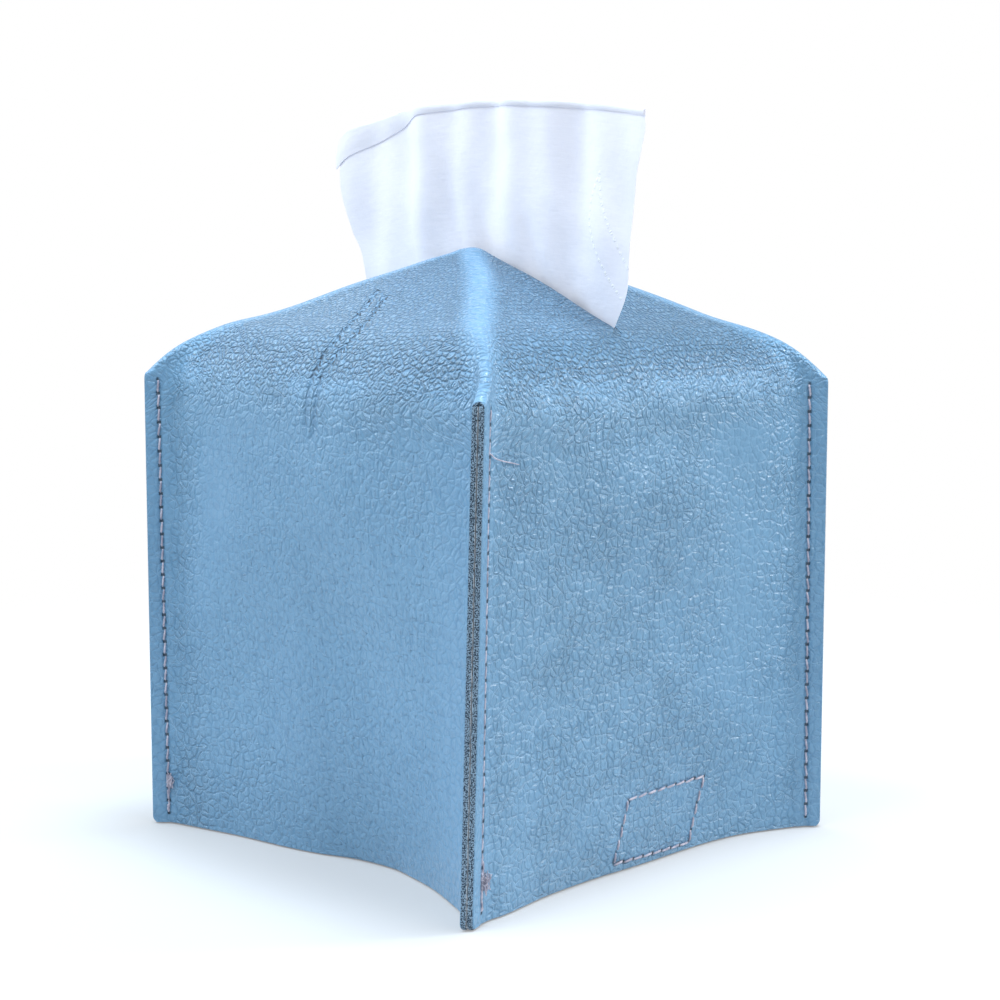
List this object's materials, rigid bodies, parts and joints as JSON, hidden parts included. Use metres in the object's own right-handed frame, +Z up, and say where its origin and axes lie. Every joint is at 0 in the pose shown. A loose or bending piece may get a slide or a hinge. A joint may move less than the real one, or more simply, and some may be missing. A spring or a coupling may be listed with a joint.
{
  "type": "tissue box cover",
  "caption": "Soft grained leather cover for a cube tissue box, with sewn corner flanges, a slot in the domed crown, and a belt that closes the open bottom.",
  "frame": {"origin": "middle of the foot of the cover, on the surface it stands on", "axes": "+Z up; -Y is the front wall, which shows the belt's box stitch; +X to the right as the front wall is faced"},
  "size_m": [0.125, 0.125, 0.186],
  "materials": {
    "grained_leather": "satin pebbled grain",
    "belt_leather": "satin pebbled grain",
    "thread": "twisted polyester thread",
    "loop_pile": "soft loop pile",
    "hook_pile": "stiff hook pile",
    "tissue": "soft white tissue"
  },
  "bodies": {
    "cover": {"leather_cover": "grained_leather", "seam_thread_front_left": "thread", "seam_thread_front_right": "thread", "seam_thread_back_right": "thread", "seam_thread_back_left": "thread", "belt_anchor_front": "belt_leather", "belt_anchor_back": "belt_leather", "anchor_stitch_front": "thread", "anchor_stitch_back": "thread"},
    "strap": {"belt_strap": "belt_leather", "loop_patch": "loop_pile", "loop_patch_stitch": "thread"},
    "tab": {"belt_tab": "belt_leather", "hook_patch": "hook_pile", "hook_patch_stitch": "thread"},
    "tissue": {"tissue_sheet": "tissue"}
  },
  "joints": [
    {"name": "strap_swing", "type": "hinge", "parent": "cover", "child": "strap", "pos_m": [0.007, -0.04955, 0.0014], "axis": [-1, 0, 0], "range_deg": [0, 90]},
    {"name": "tab_swing", "type": "hinge", "parent": "cover", "child": "tab", "pos_m": [0.007, 0.04955, 0.0063], "axis": [1, 0, 0], "range_deg": [0, 90]},
    {"name": "tissue_pull", "type": "slide", "parent": "cover", "child": "tissue", "axis": [0, 0, 1], "range_m": [0, 0.045]}
  ],
  "couplings": [
    {"joint": "tab_swing", "follows": "strap_swing", "ratio": 1}
  ]
}
